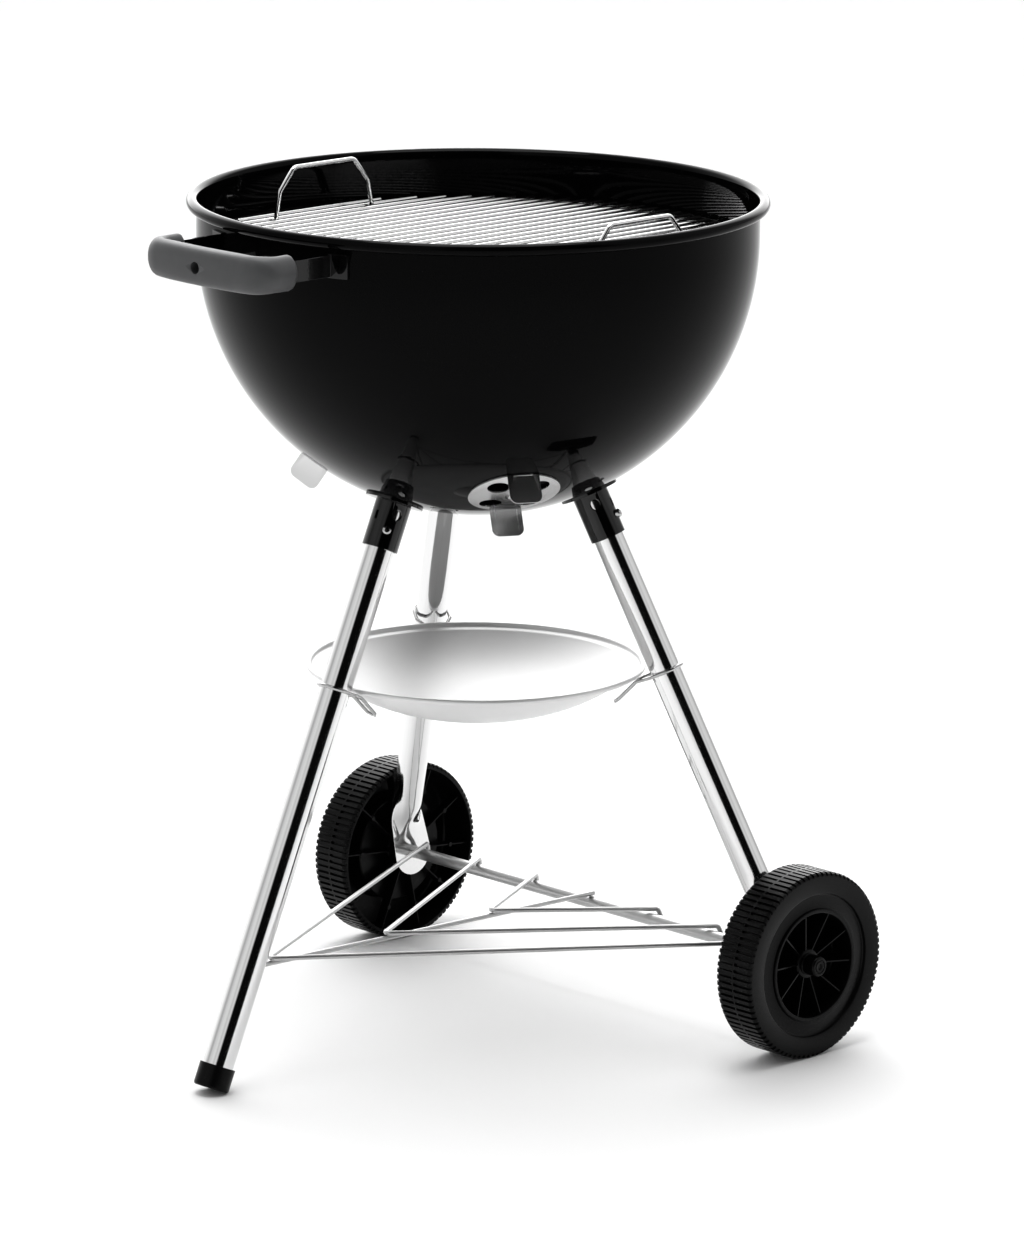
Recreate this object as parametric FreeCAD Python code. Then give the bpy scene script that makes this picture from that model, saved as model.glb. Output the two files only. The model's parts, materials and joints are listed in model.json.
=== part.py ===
"""Kettle charcoal grill with an open bowl, two wheels and one plain leg.

Millimetres, +Z up.  The handle and the plain leg point along -Y and the axle lies
along X.  The origin is on the floor, under the middle of the whole grill.
"""
import FreeCAD, Part
import os
from math import asin, atan, cos, degrees, radians, sin, sqrt, tan

from FreeCAD import Vector

# Bowl: a hemisphere of enamelled sheet with a short straight wall and a rolled rim
bowl_radius = 227.0
bowl_wall = 1.6
bowl_centre_z = 662.0
rim_radius = 235.0
rim_top = 694.0
rim_bead = (rim_radius - bowl_radius + bowl_wall) / 2

# Legs: tubes that point at the centre of the bowl's hemisphere
leg_radius = 12.7
leg_wall = 1.2
front_tilt = 23.8
wheel_leg_tilt = 24.6
leg_azimuth = {"front": 0.0, "right": 120.0, "left": -120.0}
leg_tilt = {"front": front_tilt, "right": wheel_leg_tilt, "left": wheel_leg_tilt}
button_turn = {"front": 50.0, "right": 0.0, "left": 0.0}
leg_top = 231.0

# Sockets welded to the bowl, and the snap buttons that lock the legs in them
socket_radius = 14.7
socket_bore = 12.9
socket_end = 266.8
socket_flange_radius = 24.0
socket_flange_thickness = 2.2
button_along = 252.0
button_radius = 3.6
button_fit = 0.05
button_reach = 18.4

# Air vents and the discs that turn over them
damper_azimuths = {"front_right": 60.0, "rear": 180.0, "front_left": -60.0}
damper_turn = {"front_right": 0.0, "rear": 0.0, "front_left": 90.0}
damper_offset = 126.7
damper_radius = 37.0
damper_gap = 0.4
damper_thickness = 1.2
vent_radius = 8.5
damper_hole_radius = 9.0
vent_ring = 23.0
rivet_radius = 2.5
rivet_fit = 0.1
rivet_head_radius = 5.5

# Wheels and axle
axle_y = 134.6
axle_z = 77.4
axle_radius = 4.0
axle_tube_radius = 5.2
axle_tube_bore = 4.15
tongue_outer_x = 220.0
tongue_thickness = 2.4
tongue_width = 40.0
washer_thickness = 1.6
wheel_radius = 77.4
wheel_inner_x = 222.4
wheel_outer_x = 260.4
hub_radius = 13.0
hub_bore = 4.08
web_depth = 22.0
web_thickness = 2.4
hub_drop = 8.0
rib_count = 10
rib_thickness = 2.0
cap_radius_on_axle = 8.5

# Bottom rack of bent wires
wire_radius = 2.0
rack_front_along = 619.0
rack_apex_y = {"outer": -229.0, "middle": -102.0, "inner": 17.0}
rack_end_x = {"outer": 204.0, "middle": 139.0, "inner": 69.0}

# Ash pan and its clips
pan_radius = 139.0
pan_rim_z = 306.0
pan_bead = 2.2
pan_sheet = 1.0
pan_depth = 40.0
pan_flat_radius = 35.0
clip_along = 385.2
clip_wire_radius = 1.5

# Handle
handle_front = 303.2
handle_back = 261.2
handle_half_width = 74.0
handle_corner = 26.0
handle_end_corner = 12.0
handle_edge = 5.0
handle_z = 670.5
handle_height = 30.0
strap_x = 65.0
strap_thickness = 2.4
strap_height = 17.0
strap_bend = 18.0
strap_inset = 15.0
screw_recess_radius = 4.8

# Cooking grate and charcoal grate
grate_rod_radius = 2.25
grate_ring_wire = 3.0
grate_radius = 217.5
grate_top = 657.0
grate_pitch = 13.5
grate_side_rods = 15
grate_handle_height = 44.0
coal_rod_radius = 3.0
coal_radius = 171.0
coal_z = 530.0
coal_pitch = 22.0
coal_side_rods = 7
weld_gap = 0.05

x_axis = Vector(1, 0, 0)
y_axis = Vector(0, 1, 0)
z_axis = Vector(0, 0, 1)
middle = Vector(0, 0, 0)
shift = Vector(0, (handle_front - rim_radius) / 2, 0)


def save(name, *solids):
    """Write one node, moved so that the origin lies under the middle of the grill."""
    shape = solids[0] if len(solids) == 1 else Part.makeCompound(list(solids))
    shape = shape.copy()
    shape.translate(shift)
    for solid in shape.Solids:
        if not solid.isValid() or not solid.isClosed():
            raise RuntimeError(name + " is not a closed valid solid")
    shape.exportStep("parts/" + name + ".step")
    print(name, len(shape.Solids), round(shape.Volume / 1000, 2), "cm3")


def clean(shape):
    """The single solid of a boolean result, with its split faces joined."""
    result = shape.removeSplitter()
    if len(result.Solids) != 1:
        raise RuntimeError("expected one solid, got " + str(len(result.Solids)))
    return result.Solids[0]


def cylinder(radius, start, end, axis=z_axis):
    """Cylinder about an axis through the origin, from start to end along it."""
    return Part.makeCylinder(radius, end - start, axis * start, axis)


def tube(outer, inner, start, end, axis=z_axis):
    """Hollow cylinder about an axis through the origin."""
    return cylinder(outer, start, end, axis).cut(cylinder(inner, start - 1, end + 1, axis))


def box(x0, x1, y0, y1, z0, z1):
    """Box between two corners."""
    return Part.makeBox(x1 - x0, y1 - y0, z1 - z0, Vector(x0, y0, z0))


def radial(shape, azimuth, polar):
    """Place a shape made about +Z so that +Z runs from the bowl's centre outwards.

    Local +Y turns to the outer, upper side and local +X stays level.
    """
    placed = shape.copy()
    placed.rotate(middle, x_axis, 180 - polar)
    placed.translate(z_axis * bowl_centre_z)
    placed.rotate(middle, z_axis, azimuth)
    return placed


def bent_path(points, bend):
    """Wire of straight runs joined by tangent arcs of one bend radius."""
    edges = []
    start = points[0]
    for before, corner, after in zip(points, points[1:], points[2:]):
        arriving = (corner - before).normalize()
        leaving = (after - corner).normalize()
        turn = arriving.getAngle(leaving)
        reach = bend * tan(turn / 2)
        enter = corner - arriving * reach
        leave = corner + leaving * reach
        inward = (leaving - arriving).normalize()
        depth = bend * (1 / cos(turn / 2) - 1)
        edges.append(Part.LineSegment(start, enter).toShape())
        edges.append(Part.Arc(enter, corner + inward * depth, leave).toShape())
        start = leave
    edges.append(Part.LineSegment(start, points[-1]).toShape())
    return Part.Wire(edges)


def bent_rod(points, bend, radius):
    """Round wire bent along a list of points."""
    path = bent_path(points, bend)
    circle = Part.Circle(points[0], points[1] - points[0], radius).toShape()
    return path.makePipeShell([Part.Wire(circle)], True, False).Solids[0]


def straight_rod(start, end, radius):
    """Round bar between two points."""
    return Part.makeCylinder(radius, start.distanceToPoint(end), start, end - start)


def revolve(edges):
    """Solid turned about Z from a closed outline in the XZ plane."""
    face = Part.Face(Part.Wire(edges))
    return face.revolve(middle, z_axis, 360).Solids[0]


def line(x0, z0, x1, z1):
    """Straight edge in the XZ plane."""
    return Part.LineSegment(Vector(x0, 0, z0), Vector(x1, 0, z1)).toShape()


def arc(x0, z0, xm, zm, x1, z1):
    """Arc through three points in the XZ plane."""
    return Part.Arc(Vector(x0, 0, z0), Vector(xm, 0, zm), Vector(x1, 0, z1)).toShape()


def polygon(corners):
    """Closed outline of straight edges in the XZ plane."""
    closed = list(corners) + [corners[0]]
    return [line(*a, *b) for a, b in zip(closed, closed[1:])]


def build_bowl():
    """Hemisphere, straight wall, rolled rim, vents, rivet holes and handle wall."""
    inner = bowl_radius - bowl_wall
    bead_x = rim_radius - rim_bead
    bead_z = rim_top - rim_bead
    meet_z = bead_z - sqrt(rim_bead ** 2 - (bead_x - bowl_radius) ** 2)
    low = bowl_centre_z
    diagonal = sqrt(0.5)
    outline = [
        arc(0, low - inner, inner * diagonal, low - inner * diagonal, inner, low),
        line(inner, low, inner, bead_z),
        arc(inner, bead_z, bead_x, rim_top, rim_radius, bead_z),
        arc(rim_radius, bead_z, bead_x, bead_z - rim_bead, bowl_radius, meet_z),
        line(bowl_radius, meet_z, bowl_radius, low),
        arc(bowl_radius, low, bowl_radius * diagonal, low - bowl_radius * diagonal,
            0, low - bowl_radius),
        line(0, low - bowl_radius, 0, low - inner),
    ]
    bowl = revolve(outline)
    cutters = []
    for azimuth in damper_azimuths.values():
        for hole in vent_holes(vent_radius) + [cylinder(rivet_radius, 200, 250)]:
            cutters.append(radial(hole, azimuth, damper_polar()))
    return clean(bowl.cut(Part.makeCompound(cutters)))


def damper_polar():
    """Angle of each vent from straight down, seen from the bowl's centre."""
    return degrees(asin(damper_offset / bowl_radius))


def vent_holes(radius):
    """Four round cutters in a ring about +Z."""
    holes = []
    for quarter in range(4):
        turn = radians(45 + 90 * quarter)
        base = Vector(vent_ring * cos(turn), vent_ring * sin(turn), 200)
        holes.append(Part.makeCylinder(radius, 50, base, z_axis))
    return holes


def shell(inner, outer, radius):
    """Round patch of a spherical shell about the bowl's centre, capped about +Z."""
    patch = Part.makeSphere(outer).cut(Part.makeSphere(inner))
    return patch.common(cylinder(radius, inner * 0.8, outer + 1))


def damper_tab(side):
    """Finger tab bent square off the edge of a damper disc."""
    half = 13.0
    length = 21.0
    corner = 6.0
    root = bowl_radius + damper_gap + 0.2
    face = damper_radius - 2.2
    tab = box(-half, half, face, face + damper_thickness, root - 3.2, root + length)
    ends = [e for e in tab.Edges if e.Vertexes[0].Z > root + 5 and e.Vertexes[1].Z > root + 5
            and abs(e.Vertexes[0].X - e.Vertexes[1].X) < 1e-6]
    tab = tab.makeFillet(corner, ends)
    if side < 0:
        tab.rotate(middle, z_axis, 180)
    return tab


def build_damper():
    """Dished disc with four holes and two finger tabs, about +Z."""
    inner = bowl_radius + damper_gap
    disc = shell(inner, inner + damper_thickness, damper_radius)
    tabs = damper_tab(1).fuse(damper_tab(-1)).cut(Part.makeSphere(inner))
    holes = vent_holes(damper_hole_radius) + [cylinder(rivet_radius + rivet_fit, 200, 250)]
    return clean(disc.fuse(tabs).cut(Part.makeCompound(holes)))


def build_rivet():
    """Rivet with a head on each side of the bowl and its disc, about +Z."""
    inner_face = bowl_radius - bowl_wall - 0.1
    outer_face = bowl_radius + damper_gap + damper_thickness + 0.2
    head = 1.8
    shank = cylinder(rivet_radius, inner_face - head, outer_face + head)
    heads = cylinder(rivet_head_radius, inner_face - head, inner_face)
    dome = cylinder(rivet_head_radius, outer_face, outer_face + head)
    rim = [e for e in dome.Edges if e.Length > 1 and e.CenterOfMass.z > outer_face + head - 0.01]
    dome = dome.makeFillet(1.4, rim)
    return clean(shank.fuse([heads, dome]))


def build_socket(name):
    """Sleeve with a flange that follows the bowl, a slot, two windows and a button hole."""
    flange = shell(bowl_radius + weld_gap, bowl_radius + socket_flange_thickness,
                   socket_flange_radius)
    sleeve = cylinder(socket_radius, bowl_radius - 2, socket_end)
    sleeve = sleeve.cut(Part.makeSphere(bowl_radius + weld_gap))
    body = flange.fuse(sleeve).cut(cylinder(socket_bore, 200, 300))
    slot = box(-1.4, 1.4, 10, 20, 238, 245)
    window = Part.makeCylinder(4.5, 12, Vector(0, 9, 238), y_axis)
    cuts = [slot]
    for side in (-68, 68):
        side_window = window.copy()
        side_window.rotate(middle, z_axis, side)
        cuts.append(side_window)
    cuts.append(button_hole(name))
    return clean(body.cut(Part.makeCompound(cuts)))


def button_hole(name):
    """Cutter for the snap button's hole through the socket and the leg."""
    hole = Part.makeCylinder(button_radius + button_fit, 14, Vector(0, 8, button_along), y_axis)
    hole.rotate(middle, z_axis, -button_turn[name])
    return hole


def build_button(name):
    """Snap button: a domed pin with a flange that stays inside the leg."""
    pin = Part.makeCylinder(button_radius, button_reach - 8.6,
                            Vector(0, 8.6, button_along), y_axis)
    edge = [e for e in pin.Edges if e.CenterOfMass.y > button_reach - 0.01]
    pin = pin.makeFillet(2.2, edge)
    flange = Part.makeCylinder(4.7, 1.1, Vector(0, 9.1, button_along), y_axis)
    button = clean(pin.fuse(flange))
    button.rotate(middle, z_axis, -button_turn[name])
    return button


def build_spring(name):
    """Leaf spring inside the leg, bent over above the snap button."""
    strip = 4.0
    sheet = 0.8
    near = -9.2
    far = 9.2
    high = button_along - 19
    low = button_along + 20
    back = box(-strip, strip, near - sheet, near, high, low)
    bend = box(-strip, strip, near - sheet, far, high - sheet, high)
    front = box(-strip, strip, far - sheet, far, high - sheet, button_along - 6.5)
    spring = clean(back.fuse([bend, front]))
    spring.rotate(middle, z_axis, -button_turn[name])
    return spring


def front_leg_end():
    """Distance from the bowl's centre to the underside of the leg's end cap."""
    cap_drop = cap_radius() * sin(radians(front_tilt))
    sunk = 2.2
    return (bowl_centre_z - cap_drop + sunk) / cos(radians(front_tilt))


def cap_radius():
    """Outer radius of the plain leg's end cap."""
    return leg_radius + 1.9


def build_front_leg():
    """Plain tube with the button hole and a hole for the rack's middle rod."""
    leg = tube(leg_radius, leg_radius - leg_wall, leg_top, front_leg_end() - 3)
    leg = clean(leg.cut(button_hole("front")))
    leg = radial(leg, 0, front_tilt)
    start, end = rack_rod_ends()
    return clean(leg.cut(straight_rod(start, end, wire_radius + 0.1)))


def build_cap():
    """Plastic cup over the end of the plain leg, with a flat where it meets the floor."""
    end = front_leg_end()
    cup = cylinder(cap_radius(), end - 19, end)
    rim = [e for e in cup.Edges if e.Length > 50 and e.CenterOfMass.z > end - 0.01]
    cup = cup.makeFillet(2.0, rim)
    cup = cup.cut(cylinder(leg_radius + 0.05, end - 20, end - 2.95))
    cup = radial(cup, 0, front_tilt)
    floor = box(-60, 60, -400, -200, -30, 0)
    return clean(cup.cut(floor))


def wheel_leg_y(height):
    """Y of the wheel legs' middle line at a height."""
    return 0.5 * (bowl_centre_z - height) * tan(radians(wheel_leg_tilt))


def build_right_leg():
    """Tube whose lower end is pressed to a flat tongue that carries the axle."""
    leg = tube(leg_radius, leg_radius - leg_wall, leg_top, 660)
    leg = leg.cut(button_hole("right"))
    leg = radial(leg, leg_azimuth["right"], wheel_leg_tilt)
    leg = leg.cut(box(tongue_outer_x, 400, -50, 400, -100, 400))
    leg = leg.cut(box(0, 400, -50, 400, -100, axle_z + axle_tube_radius + 4))
    leg = leg.fuse(tongue())
    hole = Part.makeCylinder(axle_radius + 0.1, 30, Vector(205, axle_y, axle_z), x_axis)
    return clean(leg.cut(hole))


def tongue():
    """Flat tongue, round at the bottom and pointed up both sides of the tube."""
    half = tongue_width / 2
    lean = degrees(atan(0.5 * tan(radians(wheel_leg_tilt))))
    inner = tongue_outer_x - tongue_thickness
    top = 44.0
    corners = [Vector(inner, -half, 0), Vector(inner, -half + 3, top),
               Vector(inner, half - 3, top), Vector(inner, half, 0)]
    sides = [Part.LineSegment(a, b).toShape() for a, b in zip(corners, corners[1:])]
    bottom = Part.Arc(corners[3], Vector(inner, 0, -half), corners[0]).toShape()
    plate = Part.Face(Part.Wire(sides + [bottom])).extrude(x_axis * tongue_thickness)
    plate.rotate(Vector(0, 0, 0), x_axis, lean)
    plate.translate(Vector(0, axle_y, axle_z))
    return plate


def mirrored(shape):
    """The same shape on the other side of the YZ plane."""
    return shape.mirror(middle, x_axis)


def build_wheel():
    """Right wheel about X: a hollow tyre, a web and ribs on both sides of the web."""
    rim = wheel_radius
    inner = wheel_inner_x
    outer = wheel_outer_x
    web = outer - web_depth
    back = web - web_thickness
    section = [(hub_bore, inner), (hub_radius, inner), (hub_radius, back),
               (46, back), (46, outer - 5.5), (71, outer - 5.5), (71, inner + 1),
               (rim - 2, inner + 1), (rim, inner + 4), (rim, outer - 4), (rim - 3, outer),
               (60, outer), (58, outer - 3), (47, outer - 3), (46, outer - 1), (43.5, outer - 1),
               (43, web), (hub_radius, web), (hub_radius - 1, outer - hub_drop),
               (hub_bore, outer - hub_drop)]
    wheel = revolve(polygon(section))
    half = rib_thickness / 2
    inside = box(hub_radius - 1, 72, -half, half, inner + 5, back + 0.5)
    outside = box(hub_radius - 2, 43.5, -half * 0.6, half * 0.6, web - 0.5, outer - 9)
    ribs = []
    for index in range(rib_count):
        for rib in (inside, outside):
            turned = rib.copy()
            turned.rotate(middle, z_axis, 360 / rib_count * index)
            ribs.append(turned)
    wheel = clean(wheel.fuse(ribs))
    wheel.rotate(middle, y_axis, 90)
    wheel.translate(Vector(0, axle_y, axle_z))
    return wheel


def along_axle(shape):
    """Turn a shape made about +Z so that it lies on the axle."""
    placed = shape.copy()
    placed.rotate(middle, y_axis, 90)
    placed.translate(Vector(0, axle_y, axle_z))
    return placed


def build_axle_nut():
    """Domed cap pressed on the right end of the axle."""
    start = wheel_outer_x - hub_drop + 0.4
    end = wheel_outer_x + 5.4
    nut = cylinder(cap_radius_on_axle, start, end)
    rim = [e for e in nut.Edges if e.Length > 30 and e.CenterOfMass.z > end - 0.01]
    nut = nut.makeFillet(3.0, rim)
    return along_axle(clean(nut.cut(cylinder(axle_radius, start - 1, end - 2))))


def rack_rod_ends():
    """Front and rear ends of the rack's middle rod."""
    tilt = radians(front_tilt)
    front = Vector(0, -rack_front_along * sin(tilt), bowl_centre_z - rack_front_along * cos(tilt))
    rear = Vector(0, axle_y + 3, axle_z + axle_tube_radius + wire_radius + weld_gap)
    return front, rear


def build_rack_rod():
    """Middle rod from inside the plain leg to the top of the axle tube."""
    front, rear = rack_rod_ends()
    return straight_rod(front, rear, wire_radius)


def build_rack_wire(name):
    """V of wire that lies on the middle rod and on the axle tube, hooked over it."""
    front, rear = rack_rod_ends()
    apex_y = rack_apex_y[name]
    end_x = rack_end_x[name]
    share = (apex_y - front.y) / (rear.y - front.y)
    rod_z = front.z + (rear.z - front.z) * share
    apex = Vector(0, apex_y, rod_z + 2 * wire_radius + 0.4)
    over = Vector(end_x, axle_y, rear.z + 0.6)
    run = over - apex
    flat = Vector(run.x, run.y, 0).normalize()
    bend = over + flat * 7.5
    hook = bend + flat * 3 - z_axis * 7
    half = [hook, bend, over]
    other = [Vector(-p.x, p.y, p.z) for p in reversed(half)]
    points = [hook, bend, apex, other[1], other[2]]
    return bent_rod(points, 3.5, wire_radius)


def build_pan():
    """Shallow dish with a rolled rim, a step and a flat pressed bottom."""
    bead = pan_bead
    bead_x = pan_radius - bead
    lip = bead_x - 9
    bottom = pan_rim_z - pan_depth
    flat = pan_flat_radius
    side_x = (lip + flat) / 2
    side_z = bottom + pan_depth * 0.30
    sheet = pan_sheet
    outline = [
        line(0, bottom + 1.2, flat - 3, bottom + 1.2),
        line(flat - 3, bottom + 1.2, flat, bottom),
        arc(flat, bottom, side_x, side_z, lip, pan_rim_z - 3.2),
        line(lip, pan_rim_z - 3.2, bead_x - bead, pan_rim_z - 1.0),
        line(bead_x - bead, pan_rim_z - 1.0, bead_x - bead, pan_rim_z),
        arc(bead_x - bead, pan_rim_z, bead_x, pan_rim_z + bead, pan_radius, pan_rim_z),
        arc(pan_radius, pan_rim_z, bead_x, pan_rim_z - bead,
            bead_x - bead * 0.8, pan_rim_z - bead * 0.6 - sheet * 0.6),
        line(bead_x - bead * 0.8, pan_rim_z - bead * 0.6 - sheet * 0.6,
             lip + 0.5, pan_rim_z - 3.2 - sheet),
        arc(lip + 0.5, pan_rim_z - 3.2 - sheet, side_x + 0.4, side_z - sheet,
            flat + 0.2, bottom - sheet),
        line(flat + 0.2, bottom - sheet, 0, bottom - sheet),
        line(0, bottom - sheet, 0, bottom + 1.2),
    ]
    return revolve(outline)


def build_clip():
    """Wire loop round a leg with two tails that run in under the pan, about +Z."""
    side = leg_radius + clip_wire_radius + 0.15
    z = clip_along
    half = [Vector(0.9, -50, z + 9), Vector(4.5, -46, z + 8), Vector(4.5, -26, z),
            Vector(side, -9, z), Vector(side, side, z)]
    return bent_clip(half)


def bent_clip(points):
    """Sweep the clip wire: tight bends in the tails, one half circle round the leg."""
    bend = 1.6
    tails = bent_path(points[:4] + [(points[3] + points[4]) * 0.5], bend)
    corner = points[4]
    start = Vector(corner.x, 0, corner.z)
    crown = Vector(0, corner.x, corner.z)
    edges = list(tails.Edges)
    edges[-1] = Part.LineSegment(edges[-1].Vertexes[0].Point, start).toShape()
    edges.append(Part.Arc(start, crown, Vector(-start.x, 0, start.z)).toShape())
    for edge in reversed(edges[:-1]):
        edges.append(edge.mirror(middle, x_axis))
    path = Part.Wire(Part.__sortEdges__(edges))
    first = points[0]
    circle = Part.Circle(first, points[1] - first, clip_wire_radius).toShape()
    return path.makePipeShell([Part.Wire(circle)], True, False).Solids[0]


def strap_path(inset):
    """Plan outline edge points of the handle strap, one sheet face."""
    x = strap_x - inset
    y = -handle_front + strap_inset + inset
    return x, y


def build_strap():
    """One strip bent to a U through the grip, with a foot at each end on the bowl."""
    low = handle_z - strap_height / 2
    high = handle_z + strap_height / 2
    outer_x, outer_y = strap_path(0)
    inner_x, inner_y = strap_path(strap_thickness)
    wall = sqrt((bowl_radius + weld_gap) ** 2 - strap_x ** 2) + 0.2
    body = box(-outer_x, outer_x, outer_y, -wall, low, high)
    body = body.makeFillet(strap_bend, vertical_edges(body, -250))
    hollow = box(-inner_x, inner_x, inner_y, -wall + 50, low - 1, high + 1)
    hollow = hollow.makeFillet(strap_bend - strap_thickness, vertical_edges(hollow, -250))
    strap = body.cut(hollow)
    ring = tube(bowl_radius + weld_gap + strap_thickness, bowl_radius + weld_gap,
                low - 1, high + 1)
    keep = box(strap_x - strap_thickness, strap_x + 14, -260, -150, low - 1, high + 1)
    feet = [ring.common(keep), ring.common(mirrored(keep))]
    strap = strap.fuse(feet).cut(cylinder(bowl_radius + weld_gap, 600, 720))
    hole = Part.makeCylinder(2.0, 20, Vector(0, -handle_front, handle_z), y_axis)
    return clean(strap.cut(hole))


def vertical_edges(shape, before_y):
    """Upright edges of a box that lie in front of a Y."""
    found = []
    for edge in shape.Edges:
        ends = [v.Point for v in edge.Vertexes]
        upright = abs(ends[0].x - ends[1].x) < 1e-6 and abs(ends[0].y - ends[1].y) < 1e-6
        if upright and ends[0].y < before_y:
            found.append(edge)
    return found


def build_grip():
    """Nylon grip moulded round the strap, with a screw recess in its front."""
    front = -handle_front
    half = handle_half_width
    ends = -handle_back
    corner = handle_corner
    bulge = 2.0
    turn = corner * (1 - sqrt(0.5))
    outline = [
        (half - 3, ends), (half, ends - 9), (half, front + bulge + corner),
        (half - turn, front + bulge + turn), (half - corner, front + bulge),
        (0, front), (-half + corner, front + bulge), (-half + turn, front + bulge + turn),
        (-half, front + bulge + corner), (-half, ends - 9), (-half + 3, ends),
        (-half + 17, ends), (-half + 26, ends - 11), (0, ends - 19),
        (half - 26, ends - 11), (half - 17, ends)]
    points = [Vector(x, y, 0) for x, y in outline]
    edges = [
        Part.LineSegment(points[0], points[1]).toShape(),
        Part.LineSegment(points[1], points[2]).toShape(),
        Part.Arc(points[2], points[3], points[4]).toShape(),
        Part.Arc(points[4], points[5], points[6]).toShape(),
        Part.Arc(points[6], points[7], points[8]).toShape(),
        Part.LineSegment(points[8], points[9]).toShape(),
        Part.LineSegment(points[9], points[10]).toShape(),
        Part.LineSegment(points[10], points[11]).toShape(),
        Part.LineSegment(points[11], points[12]).toShape(),
        Part.Arc(points[12], points[13], points[14]).toShape(),
        Part.LineSegment(points[14], points[15]).toShape(),
        Part.LineSegment(points[15], points[0]).toShape()]
    grip = Part.Face(Part.Wire(edges)).extrude(z_axis * handle_height)
    grip.translate(z_axis * (handle_z - handle_height / 2))
    grip = grip.makeChamfer(handle_edge, level_edges(grip))
    grip = grip.common(rounded_end_block())
    low = handle_z - strap_height / 2 - 0.1
    high = handle_z + strap_height / 2 + 0.1
    fit = 0.1
    outer_x, outer_y = strap_path(-fit)
    inner_x, inner_y = strap_path(strap_thickness + fit)
    channel = box(-outer_x, outer_x, outer_y, -200, low, high)
    channel = channel.makeFillet(strap_bend, vertical_edges(channel, -250))
    core = box(-inner_x, inner_x, inner_y, -150, low - 1, high + 1)
    core = core.makeFillet(strap_bend - strap_thickness, vertical_edges(core, -250))
    grip = grip.cut(channel.cut(core))
    recess = Part.makeCylinder(screw_recess_radius, 11, Vector(0, front - 1, handle_z), y_axis)
    through = Part.makeCylinder(2.2, 30, Vector(0, front - 1, handle_z), y_axis)
    return clean(grip.cut(recess).cut(through))


def rounded_end_block():
    """Block whose four long edges along Y round off the grip's ends."""
    half = handle_half_width
    low = handle_z - handle_height / 2
    block = box(-half, half, -handle_front - 5, -handle_back + 5, low, low + handle_height)
    return block.makeFillet(handle_end_corner, [e for e in block.Edges if along_y(e)])


def along_y(edge):
    """True for a straight edge that runs along Y."""
    ends = [v.Point for v in edge.Vertexes]
    return abs(ends[0].y - ends[1].y) > 1


def level_edges(shape):
    """Edges that run round the top and bottom faces."""
    found = []
    for edge in shape.Edges:
        if abs(edge.Vertexes[0].Z - edge.Vertexes[-1].Z) < 1e-6:
            found.append(edge)
    return found


def build_screw():
    """Pan head screw at the bottom of the grip's recess."""
    seat = -handle_front + 10
    shank = Part.makeCylinder(2.0, 12.5, Vector(0, seat - 0.5, handle_z), y_axis)
    head = Part.makeCylinder(4.0, 2.6, Vector(0, seat - 2.65, handle_z), y_axis)
    screw = clean(shank.fuse(head))
    slot = box(-0.5, 0.5, seat - 3, seat - 1.6, handle_z - 3, handle_z + 3)
    cross = box(-3, 3, seat - 3, seat - 1.6, handle_z - 0.5, handle_z + 0.5)
    return clean(screw.cut(slot).cut(cross))


def wall_bracket(azimuth, reach, height, top):
    """Bent tab on the inside of the bowl: a foot on the wall and a level shelf."""
    half = 11.0
    sheet = 2.0
    inner = bowl_radius - bowl_wall - weld_gap
    z_mid = top - height / 2
    sink = max(0.0, bowl_centre_z - (top - height))
    wall = sqrt(inner ** 2 - sink ** 2)
    solid = box(-half, half, reach, inner + 2, top - height, top)
    hollow = box(-half - 1, half + 1, reach - 1, wall - 6, top - height - 1, top - sheet)
    bowl_space = Part.makeSphere(inner, Vector(0, 0, bowl_centre_z))
    bowl_space = bowl_space.fuse(cylinder(inner, bowl_centre_z, rim_top))
    tab = solid.cut(hollow).common(bowl_space)
    tab.rotate(middle, z_axis, azimuth)
    return clean(tab)


def build_grate_brackets():
    """Four welded tabs that carry the cooking grate."""
    shelf = grate_top - 2 * grate_rod_radius - 2 * grate_ring_wire - 0.3
    return [wall_bracket(45 + 90 * i, 210, 26, shelf) for i in range(4)]


def build_coal_brackets():
    """Four welded tabs that carry the charcoal grate."""
    shelf = coal_z - coal_rod_radius - 0.3
    return [wall_bracket(45 + 90 * i, 150, 12, shelf) for i in range(4)]


def parallel_rods(radius, rod, pitch, side_count, z):
    """Rods along Y, cut to the length of the circle they fill."""
    rods = []
    for index in range(-side_count, side_count + 1):
        x = index * pitch
        half = sqrt(radius ** 2 - x ** 2)
        rods.append(straight_rod(Vector(x, -half, z), Vector(x, half, z), rod))
    return rods


def build_grate_rods():
    """Rods of the cooking grate that the food lies on."""
    z = grate_top - grate_rod_radius
    return parallel_rods(grate_radius, grate_rod_radius, grate_pitch, grate_side_rods, z)


def build_grate_ring():
    """Ring under the ends of the cooking grate's rods."""
    z = grate_top - 2 * grate_rod_radius - grate_ring_wire - weld_gap
    return Part.makeTorus(grate_radius - 1, grate_ring_wire, Vector(0, 0, z), z_axis)


def build_grate_cross_rods():
    """Three rods along X under the cooking grate's rods, inside the ring."""
    rods = []
    z = grate_top - 3 * grate_rod_radius - weld_gap
    for y in (-56, 0, 56):
        half = sqrt((grate_radius - 1 - grate_ring_wire) ** 2 - y ** 2) - 0.9
        rods.append(straight_rod(Vector(-half, y, z), Vector(half, y, z), grate_rod_radius))
    return rods


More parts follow.
